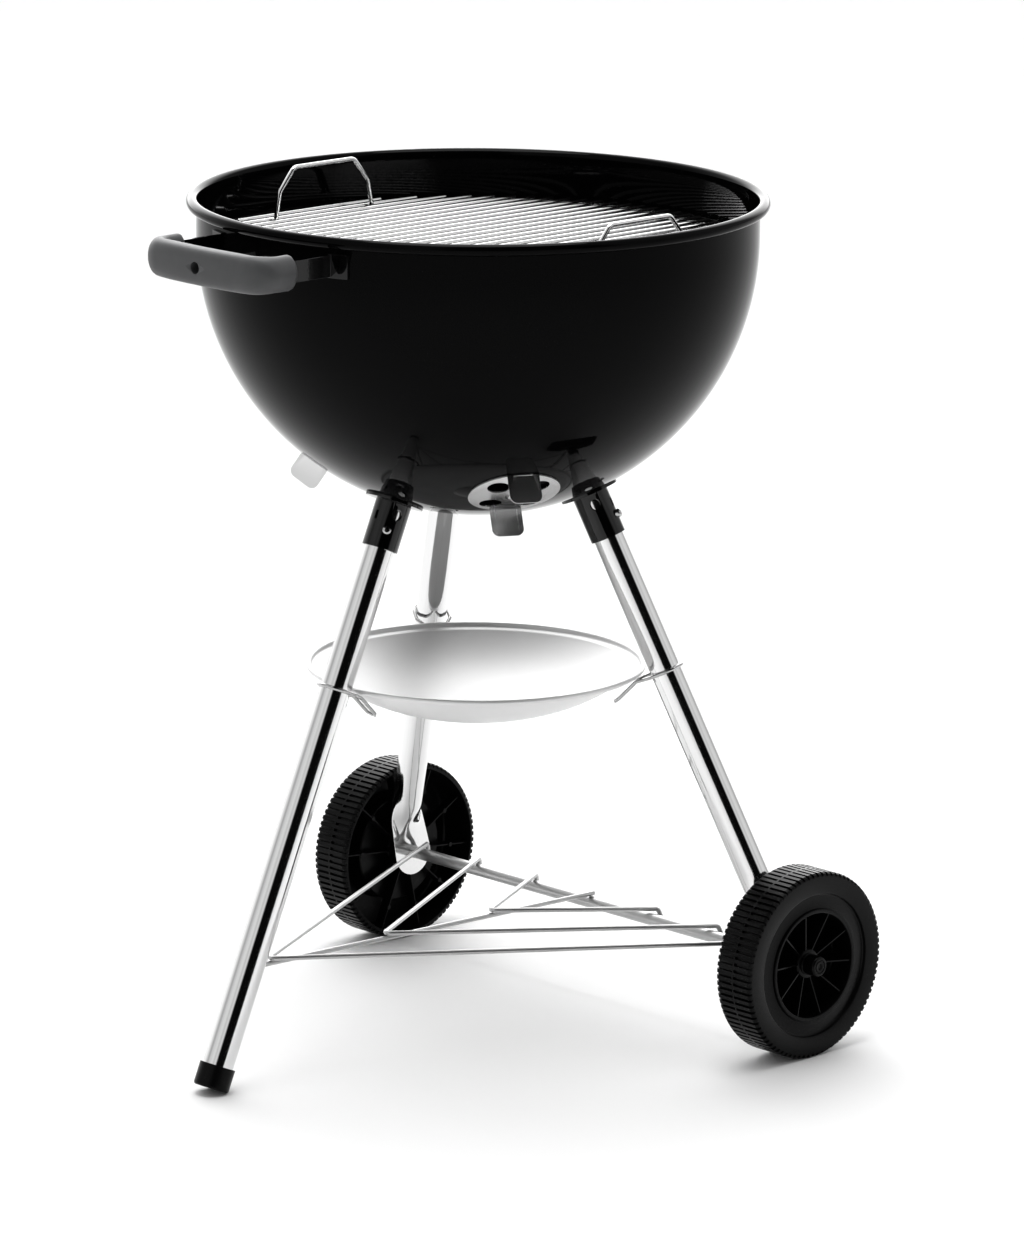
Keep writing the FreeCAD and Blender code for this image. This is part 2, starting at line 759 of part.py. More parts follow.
def build_grate_handle():
    """Loop handle beside the cooking grate's last long rod but one, on the +X side."""
    x = 14 * grate_pitch - 2 * grate_rod_radius - 0.1
    base = grate_top - 2 * grate_rod_radius
    top = base + grate_handle_height
    foot = Vector(x, -54, base)
    knee = Vector(x, -49, base + 25)
    shoulder = Vector(x, -33, top)
    half = [foot, knee, shoulder]
    other = [Vector(p.x, -p.y, p.z) for p in reversed(half)]
    return bent_rod(half + other, 7.0, 1.9)


def build_coal_rods():
    """Heavier, wider spaced rods of the charcoal grate."""
    return parallel_rods(coal_radius, coal_rod_radius, coal_pitch, coal_side_rods, coal_z)


def build_coal_cross_rods():
    """Two rods along X under the charcoal grate's rods."""
    z = coal_z - 2 * coal_rod_radius - weld_gap
    rods = []
    for y in (-70, 70):
        half = sqrt(coal_radius ** 2 - y ** 2) - 1
        rods.append(straight_rod(Vector(-half, y, z), Vector(half, y, z), coal_rod_radius))
    return rods


def save_bowl_group():
    """Bowl with everything that is welded or riveted to it."""
    save("bowl", build_bowl())
    save("cooking_grate_brackets", *build_grate_brackets())
    save("charcoal_grate_brackets", *build_coal_brackets())
    save("handle_bracket", build_strap())
    save("handle_grip", build_grip())
    save("handle_screw", build_screw())
    rivet = build_rivet()
    damper = build_damper()
    polar = damper_polar()
    save("damper_rivets", *[radial(rivet, a, polar) for a in damper_azimuths.values()])
    for name, azimuth in damper_azimuths.items():
        turned = damper.copy()
        turned.rotate(middle, z_axis, damper_turn[name])
        save("damper_" + name, radial(turned, azimuth, polar))


def save_leg_group():
    """Sockets, legs, snap buttons, springs and the plain leg's cap."""
    save("front_leg", build_front_leg())
    save("right_leg", build_right_leg())
    save("left_leg", mirrored(build_right_leg()))
    save("leg_end_cap", build_cap())
    makers = {"leg_socket": build_socket, "snap_button": build_button,
              "snap_spring": build_spring}
    for name, azimuth in leg_azimuth.items():
        for piece, make in makers.items():
            save(name + "_" + piece, radial(make(name), azimuth, leg_tilt[name]))


def save_wheel_group():
    """Axle, axle tube, washers, wheels and the caps on the axle."""
    reach = wheel_outer_x + 2
    save("axle", along_axle(cylinder(axle_radius, -reach, reach)))
    inner = tongue_outer_x - tongue_thickness - weld_gap
    save("axle_tube", along_axle(tube(axle_tube_radius, axle_tube_bore, -inner, inner)))
    washer = along_axle(tube(9.0, axle_tube_bore, tongue_outer_x + 0.1,
                             tongue_outer_x + washer_thickness))
    save("axle_washers", washer, mirrored(washer))
    nut = build_axle_nut()
    save("right_axle_cap", nut)
    save("left_axle_cap", mirrored(nut))
    wheel = build_wheel()
    save("right_wheel", wheel)
    save("left_wheel", mirrored(wheel))


def save_rack_and_pan():
    """Bottom rack, ash pan and the clips that hold the pan."""
    save("rack_middle_rod", build_rack_rod())
    for name in rack_apex_y:
        save("rack_wire_" + name, build_rack_wire(name))
    save("ash_pan", build_pan())
    clip = build_clip()
    for name, azimuth in leg_azimuth.items():
        save("pan_clip_" + name, radial(clip, azimuth, leg_tilt[name]))


def save_grates():
    """Cooking grate and charcoal grate."""
    save("cooking_grate_rods", *build_grate_rods())
    save("cooking_grate_ring", build_grate_ring())
    save("cooking_grate_cross_rods", *build_grate_cross_rods())
    handle = build_grate_handle()
    save("cooking_grate_handle_right", handle)
    save("cooking_grate_handle_left", mirrored(handle))
    save("charcoal_grate_rods", *build_coal_rods())
    save("charcoal_grate_cross_rods", *build_coal_cross_rods())


os.makedirs("parts", exist_ok=True)
save_bowl_group()
save_leg_group()
save_wheel_group()
save_rack_and_pan()
save_grates()
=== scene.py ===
import json
from math import asin, atan2, copysign, cos, degrees, pi, radians, sin, sqrt

import bmesh
import bpy
from mathutils import Matrix, Vector


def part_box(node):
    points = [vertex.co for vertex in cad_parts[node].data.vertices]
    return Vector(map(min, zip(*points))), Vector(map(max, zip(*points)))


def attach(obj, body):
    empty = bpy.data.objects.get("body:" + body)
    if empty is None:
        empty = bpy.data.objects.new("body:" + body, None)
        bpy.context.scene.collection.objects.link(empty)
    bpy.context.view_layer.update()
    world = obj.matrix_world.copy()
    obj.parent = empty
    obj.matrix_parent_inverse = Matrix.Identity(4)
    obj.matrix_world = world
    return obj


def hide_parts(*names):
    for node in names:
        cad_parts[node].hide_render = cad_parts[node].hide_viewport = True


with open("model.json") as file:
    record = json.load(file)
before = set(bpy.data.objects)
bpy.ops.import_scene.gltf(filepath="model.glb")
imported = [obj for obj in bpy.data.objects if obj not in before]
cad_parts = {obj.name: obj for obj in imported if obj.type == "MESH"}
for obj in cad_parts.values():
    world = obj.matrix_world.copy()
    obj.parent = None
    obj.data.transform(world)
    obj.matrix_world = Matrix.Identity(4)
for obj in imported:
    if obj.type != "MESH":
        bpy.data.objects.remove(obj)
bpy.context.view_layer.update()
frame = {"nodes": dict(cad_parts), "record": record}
print("frame loaded:", len(frame["nodes"]), "nodes")

mm = 0.001  # pieces are modelled in millimetres and settled in metres
scene = bpy.context.scene
bodyOf = {}
for bodyName, nodeNames in frame["record"]["behaviour"]["bodies"].items():
    for nodeName in nodeNames:
        bodyOf[nodeName] = bodyName

bowlLow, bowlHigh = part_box("bowl")
axisY = (bowlLow.y + bowlHigh.y) / 2 / mm  # the bowl's own axis, behind the origin
rimTop = bowlHigh.z / mm
upright = Matrix.Translation((0, axisY, 0))


# camera and light

view = {
    "place": (3.85765, -3.67720, 1.60158), "heading": 46.08, "pitch": -13.30,
    "roll": 0.36, "lens": 194.23, "sensor": 36.0, "shift": (0.0021, -0.0009),
}

light = {
    "floorSize": 60, "floorTint": 0.88, "skyPower": 1.05,
    # sky brightness at each angle from the dark gap, which stands to one side of the camera
    "bands": [(180, 1.55), (150, 1.3), (112, 0.52), (92, 0.80), (70, 0.92), (54, 0.70), (40, 0.90),
              (29, 0.006)],
    "gapTurn": 20, "glowHeight": 24, "glowWide": 42, "glowCore": 24, "glowPower": 2.4,
    "overSize": 1.6, "overHeight": 2.6, "overPower": 30, "look": "Medium High Contrast",
}


def makeCamera():
    data = bpy.data.cameras.new("camera")
    data.sensor_fit = "VERTICAL"
    data.sensor_height = view["sensor"]
    data.lens = view["lens"]
    data.shift_x, data.shift_y = view["shift"]
    data.clip_start, data.clip_end = 0.1, 200
    camera = bpy.data.objects.new("camera", data)
    turn = Matrix.Rotation(radians(view["heading"]), 4, "Z")
    turn = turn @ Matrix.Rotation(radians(90 + view["pitch"]), 4, "X")
    turn = turn @ Matrix.Rotation(radians(view["roll"]), 4, "Z")
    place = Vector(view["place"]) + Vector((0, axisY * mm, 0))
    camera.matrix_world = Matrix.Translation(place) @ turn
    scene.collection.objects.link(camera)
    scene.camera = camera


class Field:  # a number, colour or direction on its way through a material
    def __init__(self, finish, socket):
        self.finish, self.socket = finish, socket

    def reckon(self, operation, other):
        return self.finish.node("Math", {"operation": operation}, {0: self, 1: other})

    def __add__(self, other):
        return self.reckon("ADD", other)

    def __mul__(self, other):
        return self.reckon("MULTIPLY", other)

    __radd__, __rmul__ = __add__, __mul__


class Finish:  # one node tree, for a piece's surface or for the sky
    def __init__(self, name, owner=None):
        self.owner = owner or bpy.data.materials.new(name)
        self.owner.use_nodes = True
        self.tree = self.owner.node_tree
        self.tree.nodes.clear()

    def node(self, kind, settings=None, inputs=None, output=0):
        made = self.tree.nodes.new("ShaderNode" + kind)
        for name, value in (settings or {}).items():
            if name == "stops":
                for index, (place, shade) in enumerate(value):
                    stops = made.color_ramp.elements
                    stop = stops[index] if index < 2 else stops.new(place)
                    stop.position, stop.color = place, (shade, shade, shade, 1)
            else:
                setattr(made, name, value)
        for name, value in (inputs or {}).items():
            if isinstance(value, Field):
                self.tree.links.new(value.socket, made.inputs[name])
            else:
                made.inputs[name].default_value = value
        return Field(self, made.outputs[output])

    def noise(self, place, scale, detail=2.0):
        inputs = {"Vector": place, "Scale": scale, "Detail": detail}
        return self.node("TexNoise", None, inputs, "Fac")

    def lines(self, along, scale, detail=3.0):
        return self.node("TexNoise", {"noise_dimensions": "1D"},
                         {"W": along, "Scale": scale, "Detail": detail})

    def own(self):  # the piece's own coordinates, in millimetres
        return self.node("Attribute", {"attribute_name": "own"}, None, "Vector")

    def stretched(self, place, scale):
        return self.node("Mapping", None, {"Vector": place, "Scale": scale})

    def ramp(self, value, stops):
        return self.node("ValToRGB", {"stops": stops}, {"Fac": value})

    def mixed(self, share, first, second):
        return self.node("Mix", {"data_type": "RGBA"},
                         {0: share, 6: (*first, 1), 7: (*second, 1)}, 2)

    def raised(self, height, strength, distance):
        return self.node("Bump", None, {"Height": height, "Strength": strength,
                                        "Distance": distance})

    def surface(self, **inputs):
        names = {"colour": "Base Color", "roughness": "Roughness", "metallic": "Metallic",
                 "normal": "Normal", "specular": "Specular IOR Level"}
        shader = self.node("BsdfPrincipled", None, {names[k]: v for k, v in inputs.items()})
        self.node("OutputMaterial", None, {"Surface": shader}, slice(0, 0))
        return self.owner


def lightSky():
    sky = Finish("sky", scene.world or bpy.data.worlds.new("sky"))
    scene.world = sky.owner
    ahead = Vector(view["place"])
    ahead.z = 0
    ahead.normalize()
    gap = Matrix.Rotation(radians(light["gapTurn"]), 3, "Z") @ ahead
    high = radians(light["glowHeight"])
    behind = -ahead * cos(high) + Vector((0, 0, sin(high)))
    ray = sky.node("TexCoord", None, None, "Generated")
    level = sky.node("VectorMath", {"operation": "MULTIPLY"}, {0: ray, 1: (1, 1, 0)})
    level = sky.node("VectorMath", {"operation": "NORMALIZE"}, {0: level})
    facing = sky.node("VectorMath", {"operation": "DOT_PRODUCT"}, {0: level, 1: gap}, "Value")
    bands = [((cos(radians(angle)) + 1) / 2, shade) for angle, shade in light["bands"]]
    shade = sky.ramp(facing * 0.5 + 0.5, bands)
    towards = sky.node("VectorMath", {"operation": "DOT_PRODUCT"}, {0: ray, 1: behind}, "Value")
    edges = [cos(radians(light["glowWide"])), cos(radians(light["glowCore"]))]
    glow = sky.ramp(towards, [(edges[0], 0), (edges[1], 1)])
    strength = shade * light["skyPower"] + glow * light["glowPower"]
    lit = sky.node("Background", None, {"Strength": strength})
    sky.node("OutputWorld", None, {"Surface": lit}, slice(0, 0))


def makeStudio():
    bm = bmesh.new()
    bmesh.ops.create_grid(bm, x_segments=1, y_segments=1, size=light["floorSize"] / 2)
    mesh = bpy.data.meshes.new("floor")
    bm.to_mesh(mesh)
    bm.free()
    floor = bpy.data.objects.new("floor", mesh)
    scene.collection.objects.link(floor)
    pale = Finish("pale_floor")
    shade = pale.noise(pale.node("TexCoord", None, None, "Object"), 3.0)
    tint = light["floorTint"]
    colour = pale.mixed(shade, (tint,) * 3, (tint * 0.99,) * 3)
    mesh.materials.append(pale.surface(colour=colour, roughness=0.9, specular=0.1))
    lamp = bpy.data.lights.new("overhead", "AREA")
    lamp.shape, lamp.size = "DISK", light["overSize"]
    lamp.energy = light["overPower"]
    over = bpy.data.objects.new("overhead", lamp)
    over.location = (0, 0, light["overHeight"])
    scene.collection.objects.link(over)
    scene.view_settings.view_transform = "Standard"
    scene.view_settings.look = light["look"]


makeCamera()
lightSky()
makeStudio()
print("camera, floor and light set")


# finishes

def blackEnamel(name, specular):
    finish = Finish(name)
    place = finish.own()
    smear = finish.noise(finish.stretched(place, (1, 1, 0.3)), 0.018, 3)
    speck = finish.noise(place, 1.7, 2)
    colour = finish.mixed(speck, (0.0014, 0.0014, 0.0015), (0.0024, 0.0024, 0.0026))
    peel = finish.noise(place, 0.35, 1)
    return finish.surface(colour=colour, roughness=smear * 0.05 + 0.02, specular=specular,
                          normal=finish.raised(peel, 0.05, 0.0002))


def greyNylon():
    finish = Finish("grey_nylon")
    place = finish.own()
    mottle = finish.noise(place, 0.12, 3)
    grain = finish.noise(place, 2.4, 2)
    colour = finish.mixed(mottle, (0.070, 0.071, 0.073), (0.086, 0.087, 0.089))
    return finish.surface(colour=colour, roughness=grain * 0.14 + 0.40, specular=0.4,
                          normal=finish.raised(grain, 0.12, 0.0003))


def blackPlastic():
    finish = Finish("black_plastic")
    place = finish.own()
    mottle = finish.noise(place, 0.05, 3)
    grain = finish.noise(place, 2.0, 2)
    colour = finish.mixed(mottle, (0.0022, 0.0022, 0.0023), (0.0036, 0.0036, 0.0038))
    return finish.surface(colour=colour, roughness=grain * 0.14 + 0.22, specular=0.15,
                          normal=finish.raised(grain, 0.10, 0.0003))


def drawnTube(name, low, high, dull):  # polished tube with faint lines along it
    finish = Finish(name)
    place = finish.own()
    streak = finish.noise(finish.stretched(place, (1, 1, 0.012)), 1.1, 3)
    cloud = finish.noise(place, 0.02, 2)
    colour = finish.mixed(streak, low, high)
    return finish.surface(colour=colour, metallic=1.0,
                          roughness=cloud * 0.05 + streak * 0.05 + dull,
                          normal=finish.raised(streak, 0.03, 0.0002))


def spunSheet(name, low, high, dull, pitch, metallic):  # sheet spun with rings round +Z
    finish = Finish(name)
    place = finish.own()
    flat = finish.node("VectorMath", {"operation": "MULTIPLY"}, {0: place, 1: (1, 1, 0)})
    radius = finish.node("VectorMath", {"operation": "LENGTH"}, {0: flat}, "Value")
    rings = finish.lines(radius, pitch)
    cloud = finish.noise(place, 0.03, 3)
    colour = finish.mixed(cloud, low, high)
    return finish.surface(colour=colour, metallic=metallic,
                          roughness=rings * 0.08 + cloud * 0.04 + dull,
                          normal=finish.raised(rings, 0.04, 0.0003))


def barSteel(name, low, high, metallic, dull, rise=0.05):  # rod, wire and small steel parts
    finish = Finish(name)
    place = finish.own()
    cloud = finish.noise(place, 0.06, 3)
    grain = finish.noise(place, 1.3, 2)
    colour = finish.mixed(cloud, low, high)
    return finish.surface(colour=colour, metallic=metallic, roughness=grain * 0.10 + dull,
                          normal=finish.raised(grain, rise, 0.0003))


finishes = {
    "black_enamel": blackEnamel("black_enamel", 0.07),
    "socket_enamel": blackEnamel("socket_enamel", 0.50),
    "grey_nylon": greyNylon(),
    "black_plastic": blackPlastic(),
    "polished_aluminium": drawnTube("polished_aluminium", (0.70,) * 3, (0.78,) * 3, 0.04),
    "satin_aluminium": spunSheet("satin_aluminium", (0.56,) * 3, (0.64,) * 3, 0.20, 1.6, 1.0),
    "spun_aluminium": spunSheet("spun_aluminium", (0.74,) * 3, (0.80,) * 3, 0.38, 1.2, 0.40),
    "zinc_steel": barSteel("zinc_steel", (0.42,) * 3, (0.52,) * 3, 1.0, 0.22),
    "spring_steel": barSteel("spring_steel", (0.26, 0.27, 0.30), (0.34, 0.35, 0.38), 1.0, 0.2),
    "bright_steel": barSteel("bright_steel", (0.40,) * 3, (0.52,) * 3, 1.0, 0.10),
    "plated_rod": barSteel("plated_rod", (0.64,) * 3, (0.76,) * 3, 1.0, 0.08),
    # dark steel of the charcoal grate; the same finish paints shade onto the handle screw in its
    # recess
    "dark_steel_rod": barSteel("dark_steel_rod", (0.20,) * 3, (0.30,) * 3, 1.0, 0.30, 0.12),
    "grey_wire": barSteel("grey_wire", (0.42,) * 3, (0.54,) * 3, 0.85, 0.26),
}
print("finishes made:", len(finishes))


# shaping

def radial(azimuth, polar):  # local +Z runs from the bowl's centre outwards, local +Y up
    place = Matrix.Rotation(radians(azimuth), 4, "Z")
    place = place @ Matrix.Translation((0, 0, bowl["centreZ"]))
    return upright @ place @ Matrix.Rotation(radians(180 - polar), 4, "X")


def arcPoints(centreX, centreZ, radius, start, end, count):
    points = []
    for index in range(count + 1):
        angle = radians(start + (end - start) * index / count)
        points.append((centreX + radius * cos(angle), centreZ + radius * sin(angle)))
    return points


def turned(bm, points, steps):  # spin a closed outline of (radius, height) about Z
    verts = [bm.verts.new((x, 0, z)) for x, z in points]
    edges = [bm.edges.new(pair) for pair in zip(verts, verts[1:] + verts[:1])]
    bmesh.ops.spin(bm, geom=verts + edges, cent=(0, 0, 0), axis=(0, 0, 1), dvec=(0, 0, 0),
                   angle=2 * pi, steps=steps, use_merge=True, use_duplicate=False)


def swept(bm, sections):  # extrude a closed ring through each section in turn
    ring = [bm.verts.new(point) for point in sections[0]]
    first = list(ring)
    edges = [bm.edges.new(pair) for pair in zip(ring, ring[1:] + ring[:1])]
    for points in sections[1:]:
        grown = bmesh.ops.extrude_edge_only(bm, edges=edges)["geom"]
        edges = [item for item in grown if isinstance(item, bmesh.types.BMEdge)]
        partner = {}
        for vert in (item for item in grown if isinstance(item, bmesh.types.BMVert)):
            for edge in vert.link_edges:
                partner[edge.other_vert(vert)] = vert
        ring = [partner[vert] for vert in ring]
        for vert, point in zip(ring, points):
            vert.co = point
    bm.faces.new(first)
    bm.faces.new(ring)


def eased(value, low, high):
    share = min(max((value - low) / (high - low), 0), 1)
    return share * share * (3 - 2 * share)


def block(bm, x0, x1, y0, y1, z0, z1, place=Matrix()):
    size = Matrix.Diagonal((x1 - x0, y1 - y0, z1 - z0, 1))
    middle = Matrix.Translation(((x0 + x1) / 2, (y0 + y1) / 2, (z0 + z1) / 2))
    return bmesh.ops.create_cube(bm, size=1, matrix=place @ middle @ size)["verts"]


def softened(bm, verts, width):
    edges = {edge for vert in verts for edge in vert.link_edges}
    bmesh.ops.bevel(bm, geom=list(edges), offset=width, offset_type="OFFSET", segments=1,
                    profile=0.5, affect="EDGES", material=-1, clamp_overlap=True)


def settle(name, bm, place, slotName, nodes, finish=None, angle=35):
    # keep the piece's own millimetres as an attribute, then put it in its place
    own = bm.verts.layers.float_vector.new("own")
    for vert in bm.verts:
        vert[own] = vert.co
    bm.transform(Matrix.Scale(mm, 4) @ place)
    bmesh.ops.remove_doubles(bm, verts=bm.verts, dist=0.000004)
    bmesh.ops.recalc_face_normals(bm, faces=bm.faces)
    mesh = bpy.data.meshes.new(name)
    bm.to_mesh(mesh)
    bm.free()
    return present(name, mesh, slotName, nodes, finish, angle)


def present(name, mesh, slotName, nodes, finish=None, angle=35):
    mesh.shade_smooth()
    mesh.set_sharp_from_angle(angle=radians(angle))
    mesh.materials.clear()
    mesh.materials.append(finishes[finish or slotName])
    piece = bpy.data.objects.new(name, mesh)
    scene.collection.objects.link(piece)
    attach(piece, bodyOf[nodes[0]])
    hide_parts(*nodes)
    return piece


def finer(node, slotName, place=Matrix(), finish=None, angle=30, edge=0.0):
    # a CAD node with its triangles merged, smooth faces and softly broken edges
    bm = bmesh.new()
    bm.from_mesh(frame["nodes"][node].data)
    bmesh.ops.remove_doubles(bm, verts=bm.verts, dist=0.000002)
    bmesh.ops.dissolve_limit(bm, angle_limit=radians(0.6), verts=bm.verts, edges=bm.edges)
    own = bm.verts.layers.float_vector.new("own")
    back = (Matrix.Scale(mm, 4) @ place).inverted()
    for vert in bm.verts:
        vert[own] = back @ vert.co
    mesh = bpy.data.meshes.new(node + "_finished")
    bm.to_mesh(mesh)
    bm.free()
    piece = present(node + "_finished", mesh, slotName, [node], finish, angle)
    if edge:
        soft = piece.modifiers.new("edges", "BEVEL")
        soft.width, soft.segments, soft.limit_method = edge * mm, 2, "ANGLE"
        soft.angle_limit = radians(40)
    return piece


def pierced(piece, cutter):  # cut holes with a throwaway bmesh
    cutter.transform(Matrix.Scale(mm, 4))
    bmesh.ops.recalc_face_normals(cutter, faces=cutter.faces)
    mesh = bpy.data.meshes.new("cutter")
    cutter.to_mesh(mesh)
    cutter.free()
    tool = bpy.data.objects.new("cutter", mesh)
    scene.collection.objects.link(tool)
    cut = piece.modifiers.new("holes", "BOOLEAN")
    cut.object, cut.solver = tool, "EXACT"
    settled = piece.evaluated_get(bpy.context.evaluated_depsgraph_get())
    piece.data = bpy.data.meshes.new_from_object(settled)
    piece.modifiers.clear()
    bpy.data.objects.remove(tool)


# bowl

bowl = {
    "radius": 227.0, "wall": 1.6, "centreZ": 662.0, "rimRadius": 235.0, "beadSegments": 20,
    "steps": 192, "ventRing": 23.0, "ventRadius": 8.5,
    "damperOffset": 126.7, "damperAzimuths": {"front_right": 60, "rear": 180, "front_left": -60},
}
ventPolar = degrees(asin(bowl["damperOffset"] / bowl["radius"]))


def makeBowl():
    outer, inner = bowl["radius"], bowl["radius"] - bowl["wall"]
    bead = (bowl["rimRadius"] - inner) / 2
    beadX, beadZ = bowl["rimRadius"] - bead, rimTop - bead
    low = bowl["centreZ"]
    points = arcPoints(0, low, outer, -90, 0, 56)
    points += [(outer, low + 8), (outer, low + 16)]
    meet = degrees(atan2(-sqrt(bead ** 2 - (beadX - outer) ** 2), outer - beadX))
    points += arcPoints(beadX, beadZ, bead, meet, 180, bowl["beadSegments"])
    points += [(inner, low + 16), (inner, low + 8)]
    points += arcPoints(0, low, inner, 0, -90, 48)
    bm = bmesh.new()
    turned(bm, points, bowl["steps"])
    shell = settle("bowl_shell", bm, upright, "black_enamel", ["bowl"])
    cutter = bmesh.new()
    for azimuth in bowl["damperAzimuths"].values():
        for quarter in range(4):
            turn = radians(45 + 90 * quarter)
            spot = (bowl["ventRing"] * cos(turn), bowl["ventRing"] * sin(turn), outer)
            bmesh.ops.create_cone(
                cutter, cap_ends=True, segments=40, depth=30, radius1=bowl["ventRadius"],
                radius2=bowl["ventRadius"],
                matrix=radial(azimuth, ventPolar) @ Matrix.Translation(spot))
    pierced(shell, cutter)


makeBowl()
print("bowl made")


# legs

legs = {
    "radius": 12.7, "wall": 1.2, "tilt": {"front": 23.8, "right": 24.6, "left": 24.6},
    "azimuth": {"front": 0, "right": 120, "left": -120}, "buttonTurn": {"front": 50},
    "top": 231.2, "steps": 72, "buttonAlong": 252.0, "buttonHole": 3.65, "boreEnd": 500.0,
    "capRadius": 14.6, "capSunk": 2.2, "capFloor": 3.0,
}


def legPlace(name):
    return radial(legs["azimuth"][name], legs["tilt"][name])


def cylinderCutter(radius, start, end, matrix):  # closed cylinder along local +Z
    cutter = bmesh.new()
    middle = Matrix.Translation((0, 0, (start + end) / 2))
    bmesh.ops.create_cone(cutter, cap_ends=True, segments=48, radius1=radius, radius2=radius,
                          depth=end - start, matrix=matrix @ middle)
    return cutter


def cutButtonHole(piece, name):
    turn = Matrix.Rotation(radians(-legs["buttonTurn"].get(name, 0)), 4, "Z")
    across = Matrix.Translation((0, 0, legs["buttonAlong"])) @ Matrix.Rotation(radians(-90), 4, "X")
    pierced(piece, cylinderCutter(legs["buttonHole"], 6, 22, legPlace(name) @ turn @ across))


def makeFrontLeg():
    tilt = radians(legs["tilt"]["front"])
    end = (bowl["centreZ"] - legs["capRadius"] * sin(tilt) + legs["capSunk"]) / cos(tilt)
    end -= legs["capFloor"]
    outer, inner = legs["radius"], legs["radius"] - legs["wall"]
    bm = bmesh.new()
    heights = [legs["top"], 300, 400, 500, 600, 700, end]
    turned(bm, [(outer, z) for z in heights] + [(inner, z) for z in reversed(heights)],
           legs["steps"])
    piece = settle("front_leg_tube", bm, legPlace("front"), "polished_aluminium", ["front_leg"])
    cutButtonHole(piece, "front")


tongue = {
    "outerX": 220.0, "thick": 2.4, "half": 20.0, "topHalf": 17.0, "length": 44.0,
    "tubeX": 224.5, "ringPoints": 64,
    # distances from the bowl's centre over which the outer side and the inner side go flat
    "wings": (568, 610), "flat": (588, 636),
}


def tongueSection(reach):  # ring round the leg at a distance from the bowl's centre
    tilt = radians(legs["tilt"]["right"])
    along = Vector((sin(tilt) * sin(radians(120)), -sin(tilt) * cos(radians(120)), -cos(tilt)))
    lean = atan2(along.y, -along.z)
    side = Vector((0, cos(lean), sin(lean)))
    inward = along.cross(side).normalized()
    inward *= copysign(1, -inward.x)
    middle = Vector((0, 0, bowl["centreZ"])) + along * reach
    above = (middle.z - axleHeight()) / cos(lean)  # along the plate, from the axle
    rise = min(max(above / tongue["length"], 0), 1)
    half = tongue["half"] + (tongue["topHalf"] - tongue["half"]) * rise
    if above < 0:
        half = sqrt(max(tongue["half"] ** 2 - above ** 2, 0.2))
    plateX = tongue["outerX"] - tongue["thick"] / 2
    points = []
    for step in range(tongue["ringPoints"]):
        angle = 2 * pi * step / tongue["ringPoints"]
        inner, across = cos(angle), sin(angle)
        tube = middle + inward * (inner * legs["radius"]) + side * (across * legs["radius"])
        flat = Vector((plateX, middle.y, middle.z)) + side * (across * half)
        flat.x -= tongue["thick"] / 2 * min(max(inner * 6, -1), 1)
        lag = eased(inner, 0.05, 0.9)
        span = [w + (f - w) * lag for w, f in zip(tongue["wings"], tongue["flat"])]
        point = tube.lerp(flat, eased(reach, *span))
        point.x = min(point.x, tongue["tubeX"])
        points.append(point + Vector((0, axisY, 0)))
    return points


def axleHeight():
    low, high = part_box("axle")
    return (low.z + high.z) / 2 / mm


def makeWheelLeg(side):
    place = legPlace("right")
    tilt = radians(legs["tilt"]["right"])
    end = (bowl["centreZ"] - axleHeight()) / cos(tilt)
    lean = cos(atan2(sin(tilt) * 0.5, cos(tilt)))
    bottom = end + tongue["half"] * lean / cos(tilt)
    reaches = [legs["top"], 300, 380, 460, 520]
    reaches += [540 + 4 * step for step in range(int((end - 540) / 4))]
    closing = (0, 0.2, 0.4, 0.58, 0.73, 0.85, 0.93, 0.98, 0.998)
    reaches += [end + (bottom - end) * share for share in closing]
    bm = bmesh.new()
    swept(bm, [tongueSection(reach) for reach in reaches])
    bm.transform(place.inverted())
    if side == "left":
        place = Matrix.Scale(-1, 4, (1, 0, 0)) @ place
    piece = settle(side + "_leg_tube", bm, place, "polished_aluminium", [side + "_leg"], None, 50)
    bore = legs["radius"] - legs["wall"]
    pierced(piece, cylinderCutter(bore, legs["top"] - 1.2, legs["boreEnd"], legPlace(side)))
    cutButtonHole(piece, side)


makeFrontLeg()
for side in ("right", "left"):
    makeWheelLeg(side)
for name in legs["azimuth"]:
    place = legPlace(name)
    finer(name + "_leg_socket", "black_enamel", place, "socket_enamel", 30, 0.35)
    finer(name + "_snap_button", "bright_steel", place)
    finer(name + "_snap_spring", "spring_steel", place)
finer("leg_end_cap", "black_plastic", legPlace("front"), None, 30, 0.3)
print("legs made")


# air vents

def ventPlace(azimuth):
    return radial(azimuth, ventPolar)


for name, azimuth in bowl["damperAzimuths"].items():
    finer("damper_" + name, "satin_aluminium", ventPlace(azimuth), None, 30, 0.25)
finer("damper_rivets", "satin_aluminium", ventPlace(60))
print("air vents made")


# wheels

wheel = {
    "radius": 77.4, "inner": 222.4, "outer": 260.4, "lugs": 88, "lugShare": 0.58,
    "grooveDepth": 2.0, "seamHalf": 0.9, "spokes": 10, "bore": 4.08, "hub": 12.9, "hubDrop": 8.0,
    "webDepth": 22.0, "webThickness": 2.4, "capRadius": 8.5, "capReach": 5.4,
}


def treadOutline():
    rim, inner, outer, seam = (wheel[k] for k in ("radius", "inner", "outer", "seamHalf"))
    mid = (inner + outer) / 2
    return [(rim - 2.6, inner), (rim - 1.0, inner + 0.7), (rim, inner + 2.4),
            (rim, mid - seam - 0.8), (rim, mid - seam - 0.1), (rim, mid - seam + 0.1),
            (rim, mid + seam - 0.1), (rim, mid + seam + 0.1), (rim, mid + seam + 0.8),
            (rim, outer - 2.4), (rim - 1.0, outer - 0.7), (rim - 2.6, outer)]


